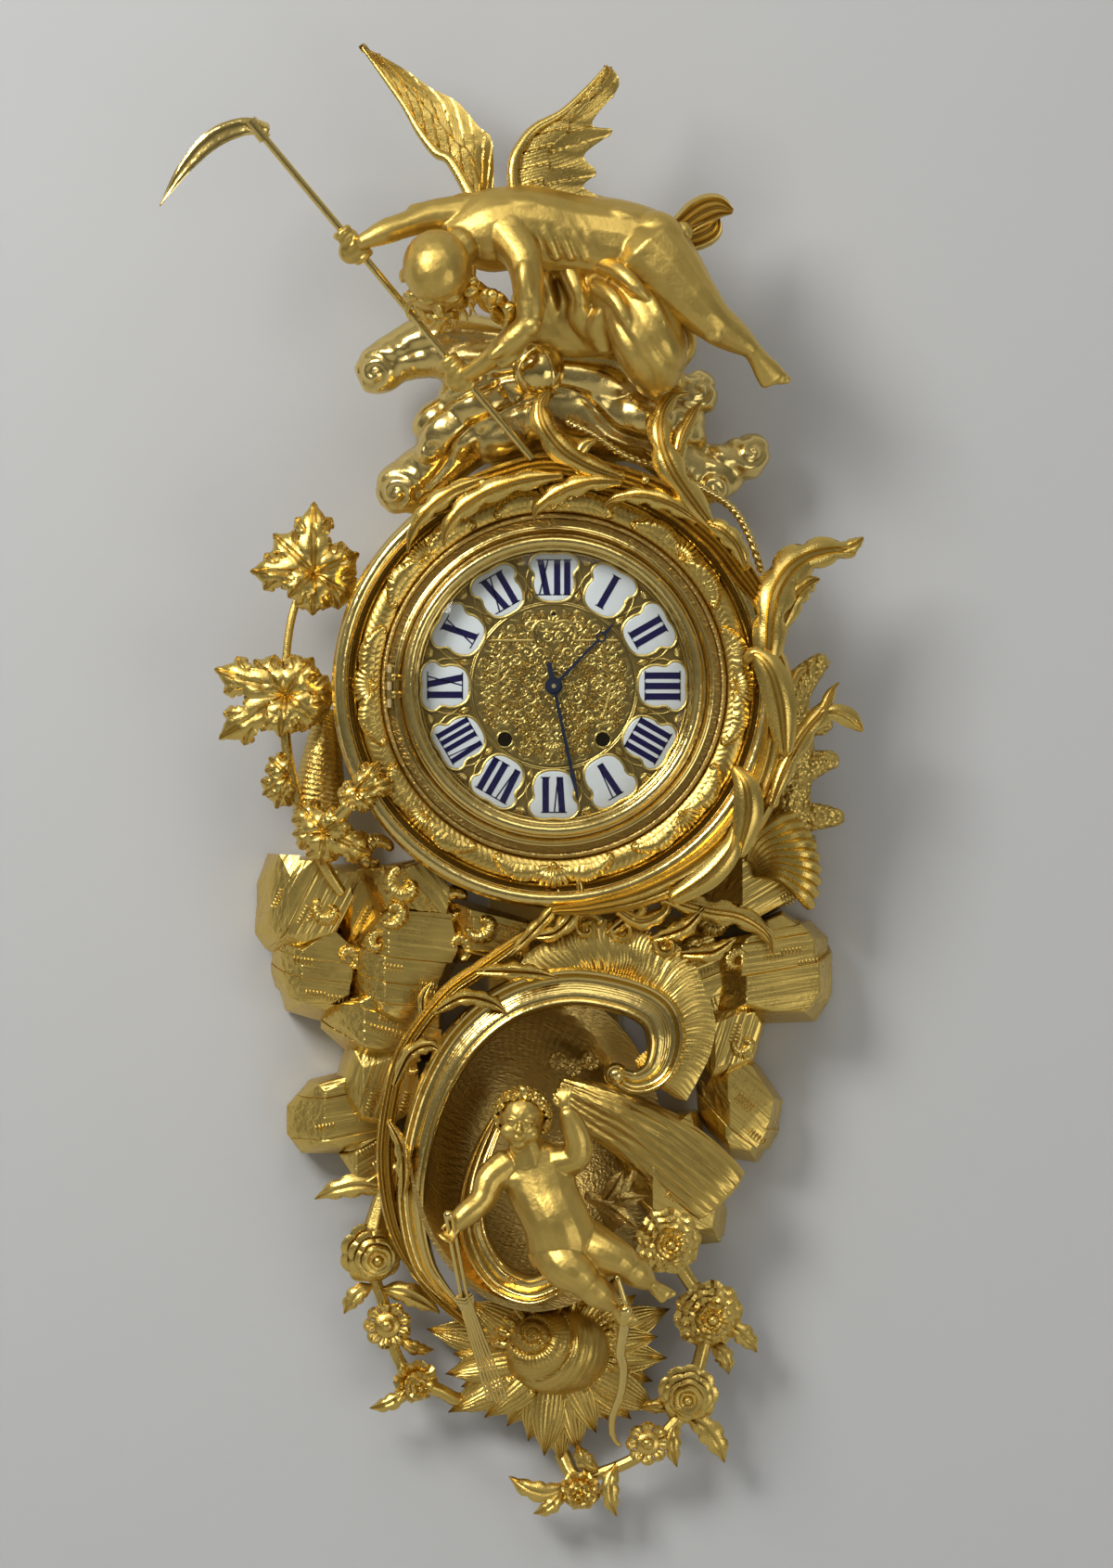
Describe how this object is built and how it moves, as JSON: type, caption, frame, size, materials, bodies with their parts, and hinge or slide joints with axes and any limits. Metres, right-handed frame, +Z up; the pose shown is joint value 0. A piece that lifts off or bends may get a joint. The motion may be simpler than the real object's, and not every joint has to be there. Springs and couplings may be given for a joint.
{
  "type": "cartel clock",
  "caption": "Gilt bronze wall clock with a round glazed dial, hinged bezel, striking spring movement and cast rococo ornament of clouds, figures, scrolls, rocks and garlands.",
  "frame": {"origin": "on the wall plane, behind the centre of the dial", "axes": "+Z up, +X to the viewer's right, +Y into the wall"},
  "size_m": [0.6446, 0.2412, 1.3581],
  "materials": {
    "gilt_cast": "fire-gilt bronze, chased and matted, burnished on the high parts",
    "gilt_polished": "fire-gilt bronze, burnished bright",
    "gilt_dark": "gilt bronze, matt and toned in the recesses",
    "dial_gilt": "gilt, embossed with leaf scrolls",
    "enamel": "white vitreous enamel with dark blue numerals",
    "glass": "clear, domed",
    "blued_steel": "blued",
    "movement_brass": "satin",
    "movement_steel": "satin"
  },
  "bodies": {
    "case": {"back_plate": "gilt_dark", "case_drum": "gilt_dark", "front_plate": "gilt_dark", "outer_moulding": "gilt_polished", "chased_ring": "gilt_cast", "hinge_leaf": "movement_brass", "hinge_pin": "movement_steel", "dial_plate": "dial_gilt", "dial_centre": "dial_gilt", "enamel_plaques": "enamel", "dial_screws": "movement_brass", "dial_feet": "movement_brass", "front_movement_plate": "movement_brass", "rear_movement_plate": "movement_brass", "movement_pillars": "movement_brass", "bell": "movement_brass", "bell_post": "movement_steel", "scythe_bearer": "gilt_cast", "wings": "gilt_cast", "scythe": "gilt_polished", "drapery": "gilt_cast", "cloud_bank": "gilt_cast", "crown_scroll": "gilt_cast", "twisted_chain": "gilt_cast", "right_scroll": "gilt_cast", "coral_branch": "gilt_dark", "left_vine": "gilt_cast", "shell_horn": "gilt_cast", "left_rocks": "gilt_cast", "right_rocks": "gilt_cast", "scroll_frame": "gilt_polished", "cartouche_back": "gilt_dark", "putto": "gilt_cast", "sunburst": "gilt_cast", "torch_and_bow": "gilt_polished", "left_garland": "gilt_cast", "right_garland": "gilt_cast"},
    "bezel_door": {"bezel": "gilt_polished", "bezel_glass": "glass", "glass_retainer": "movement_brass"},
    "minute_train": {"centre_wheel": "movement_brass", "cannon_pinion": "movement_steel", "minute_hand": "blued_steel", "hand_nut": "movement_brass"},
    "hour_train": {"hour_wheel": "movement_brass", "hour_hand": "blued_steel"},
    "minute_work": {"minute_wheel": "movement_brass"},
    "intermediate": {"intermediate_wheel": "movement_brass"},
    "going_drive": {"going_barrel": "movement_brass"},
    "third": {"third_wheel": "movement_brass"},
    "escape": {"escape_wheel": "movement_brass"},
    "swing": {"pallet_anchor": "movement_steel", "pendulum": "movement_brass"},
    "strike_drive": {"strike_barrel": "movement_brass"},
    "pin": {"pin_wheel": "movement_brass"},
    "fly_vane": {"fly": "movement_brass"},
    "hammer_lever": {"hammer": "movement_steel"},
    "going_wind": {"going_winding_arbor": "movement_steel"},
    "strike_wind": {"strike_winding_arbor": "movement_steel"},
    "regulator": {"regulator_arbor": "movement_steel"}
  },
  "joints": [
    {"name": "bezel_hinge", "type": "hinge", "parent": "case", "child": "bezel_door", "pos_m": [-0.151, -0.133, 0], "axis": [0, 0, -1], "range_deg": [0, 100]},
    {"name": "minute_turn", "type": "hinge", "parent": "case", "child": "minute_train", "pos_m": [0, -0.07, 0], "axis": [0, 1, 0], "continuous": true},
    {"name": "hour_turn", "type": "hinge", "parent": "case", "child": "hour_train", "pos_m": [0, -0.07, 0], "axis": [0, 1, 0], "continuous": true},
    {"name": "minute_wheel_turn", "type": "hinge", "parent": "case", "child": "minute_work", "pos_m": [0.01414, -0.07, 0.01414], "axis": [0, 1, 0], "continuous": true},
    {"name": "intermediate_turn", "type": "hinge", "parent": "case", "child": "intermediate", "pos_m": [0.03514, -0.07, -0.00202], "axis": [0, 1, 0], "continuous": true},
    {"name": "going_barrel_turn", "type": "hinge", "parent": "case", "child": "going_drive", "pos_m": [0.045, -0.07, -0.049], "axis": [0, 1, 0], "continuous": true},
    {"name": "third_turn", "type": "hinge", "parent": "case", "child": "third", "pos_m": [-0.016, -0.07, 0.02771], "axis": [0, 1, 0], "continuous": true},
    {"name": "escape_turn", "type": "hinge", "parent": "case", "child": "escape", "pos_m": [0, -0.07, 0.05356], "axis": [0, 1, 0], "continuous": true},
    {"name": "pendulum_swing", "type": "hinge", "parent": "case", "child": "swing", "pos_m": [0, -0.07, 0.07856], "axis": [0, 1, 0], "range_deg": [-3.5, 3.5]},
    {"name": "strike_barrel_turn", "type": "hinge", "parent": "case", "child": "strike_drive", "pos_m": [-0.045, -0.07, -0.049], "axis": [0, 1, 0], "continuous": true},
    {"name": "pin_wheel_turn", "type": "hinge", "parent": "case", "child": "pin", "pos_m": [-0.03514, -0.07, -0.00202], "axis": [0, 1, 0], "continuous": true},
    {"name": "fly_turn", "type": "hinge", "parent": "case", "child": "fly_vane", "pos_m": [-0.05468, -0.07, 0.02126], "axis": [0, 1, 0], "continuous": true},
    {"name": "hammer_lift", "type": "hinge", "parent": "case", "child": "hammer_lever", "pos_m": [-0.076, -0.07, 0.034], "axis": [0, 1, 0], "range_deg": [-3, 14]},
    {"name": "going_winding", "type": "hinge", "parent": "case", "child": "going_wind", "pos_m": [0.045, -0.07, -0.049], "axis": [0, 1, 0], "range_deg": [0, 1800]},
    {"name": "strike_winding", "type": "hinge", "parent": "case", "child": "strike_wind", "pos_m": [-0.045, -0.07, -0.049], "axis": [0, 1, 0], "range_deg": [0, 1800]},
    {"name": "regulator_turn", "type": "hinge", "parent": "case", "child": "regulator", "pos_m": [0, -0.07, 0.06606], "axis": [0, 1, 0], "range_deg": [-720, 720]}
  ],
  "couplings": [
    {"joint": "hour_turn", "follows": "minute_turn", "ratio": 0.083333},
    {"joint": "minute_wheel_turn", "follows": "minute_turn", "ratio": -0.33333},
    {"joint": "intermediate_turn", "follows": "minute_turn", "ratio": -0.22222},
    {"joint": "going_barrel_turn", "follows": "minute_turn", "ratio": 0.044444},
    {"joint": "third_turn", "follows": "minute_turn", "ratio": -4},
    {"joint": "escape_turn", "follows": "minute_turn", "ratio": 15},
    {"joint": "pin_wheel_turn", "follows": "strike_barrel_turn", "ratio": -5},
    {"joint": "fly_turn", "follows": "strike_barrel_turn", "ratio": 18.75}
  ]
}
